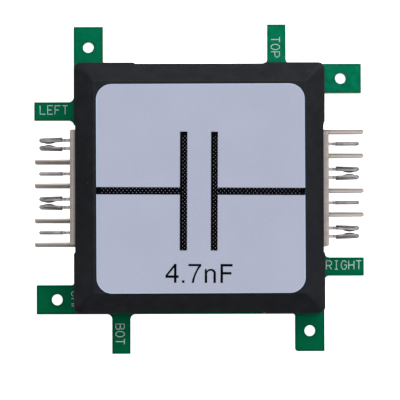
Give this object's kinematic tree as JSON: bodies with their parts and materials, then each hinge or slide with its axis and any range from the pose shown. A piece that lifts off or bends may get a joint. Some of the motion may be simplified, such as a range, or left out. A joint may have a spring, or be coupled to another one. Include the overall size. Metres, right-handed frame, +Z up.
{
  "type": "capacitor circuit module",
  "caption": "Plug-together capacitor module: circuit board with ears and tabs, hermaphroditic edge connectors with sprung fork contacts, bevelled cover and printed label.",
  "frame": {"origin": "centre of the circuit board's underside, on the plane that the module rests on", "axes": "+X out of the right-hand connector, +Y towards the top tab, +Z up through the label"},
  "size_m": [0.045, 0.045, 0.0094],
  "materials": {
    "solder_mask": "green solder mask over glass-fibre laminate, satin gloss",
    "masked_copper": "copper under green solder mask, slightly lighter",
    "tinned_pad": "hot-air tinned copper, soft sheen",
    "solder": "reflowed solder, smooth and bright",
    "capacitor_ceramic": "unglazed brown chip ceramic, matt",
    "terminal_tin": "plated tin, satin",
    "cover_plastic": "fine-textured black moulded plastic, satin",
    "label_film": "printed film, pale lilac-grey, slight sheen",
    "connector_plastic": "warm beige-grey moulded plastic, satin",
    "contact_metal": "tin-plated bronze, dull sheen with stamping marks"
  },
  "bodies": {
    "base": {"circuit_board": "solder_mask", "copper_tracks": "masked_copper", "solder_pads": "tinned_pad", "capacitor_body": "capacitor_ceramic", "capacitor_terminals": "terminal_tin", "capacitor_solder": "solder", "right_connector_housing": "connector_plastic", "right_connector_solder": "solder", "right_ground_blade": "contact_metal", "right_ground_fork_base": "contact_metal", "right_signal_blade": "contact_metal", "right_signal_fork_base": "contact_metal", "left_connector_housing": "connector_plastic", "left_connector_solder": "solder", "left_ground_blade": "contact_metal", "left_ground_fork_base": "contact_metal", "left_signal_blade": "contact_metal", "left_signal_fork_base": "contact_metal"},
    "cover": {"cover": "cover_plastic", "label": "label_film"},
    "right_ground_fork_tine_a": {"right_ground_fork_tine_a": "contact_metal"},
    "right_ground_fork_tine_b": {"right_ground_fork_tine_b": "contact_metal"},
    "right_signal_fork_tine_a": {"right_signal_fork_tine_a": "contact_metal"},
    "right_signal_fork_tine_b": {"right_signal_fork_tine_b": "contact_metal"},
    "left_ground_fork_tine_a": {"left_ground_fork_tine_a": "contact_metal"},
    "left_ground_fork_tine_b": {"left_ground_fork_tine_b": "contact_metal"},
    "left_signal_fork_tine_a": {"left_signal_fork_tine_a": "contact_metal"},
    "left_signal_fork_tine_b": {"left_signal_fork_tine_b": "contact_metal"}
  },
  "joints": [
    {"name": "cover_lift", "type": "slide", "parent": "base", "child": "cover", "axis": [0, 0, 1], "range_m": [0, 0.01]},
    {"name": "right_ground_fork_tine_a_flex", "type": "hinge", "parent": "base", "child": "right_ground_fork_tine_a", "pos_m": [0.015, -0.00544, 0.0041], "axis": [0, 0, 1], "range_deg": [0, 2.2], "stiffness_Nm_per_rad": 0.27},
    {"name": "right_ground_fork_tine_b_flex", "type": "hinge", "parent": "base", "child": "right_ground_fork_tine_b", "pos_m": [0.015, -0.00656, 0.0041], "axis": [0, 0, -1], "range_deg": [0, 2.2], "stiffness_Nm_per_rad": 0.27},
    {"name": "right_signal_fork_tine_a_flex", "type": "hinge", "parent": "base", "child": "right_signal_fork_tine_a", "pos_m": [0.015, 0.00256, 0.0041], "axis": [0, 0, 1], "range_deg": [0, 2.2], "stiffness_Nm_per_rad": 0.27},
    {"name": "right_signal_fork_tine_b_flex", "type": "hinge", "parent": "base", "child": "right_signal_fork_tine_b", "pos_m": [0.015, 0.00144, 0.0041], "axis": [0, 0, -1], "range_deg": [0, 2.2], "stiffness_Nm_per_rad": 0.27},
    {"name": "left_ground_fork_tine_a_flex", "type": "hinge", "parent": "base", "child": "left_ground_fork_tine_a", "pos_m": [-0.015, 0.00544, 0.0041], "axis": [0, 0, 1], "range_deg": [0, 2.2], "stiffness_Nm_per_rad": 0.27},
    {"name": "left_ground_fork_tine_b_flex", "type": "hinge", "parent": "base", "child": "left_ground_fork_tine_b", "pos_m": [-0.015, 0.00656, 0.0041], "axis": [0, 0, -1], "range_deg": [0, 2.2], "stiffness_Nm_per_rad": 0.27},
    {"name": "left_signal_fork_tine_a_flex", "type": "hinge", "parent": "base", "child": "left_signal_fork_tine_a", "pos_m": [-0.015, -0.00256, 0.0041], "axis": [0, 0, 1], "range_deg": [0, 2.2], "stiffness_Nm_per_rad": 0.27},
    {"name": "left_signal_fork_tine_b_flex", "type": "hinge", "parent": "base", "child": "left_signal_fork_tine_b", "pos_m": [-0.015, -0.00144, 0.0041], "axis": [0, 0, -1], "range_deg": [0, 2.2], "stiffness_Nm_per_rad": 0.27}
  ]
}
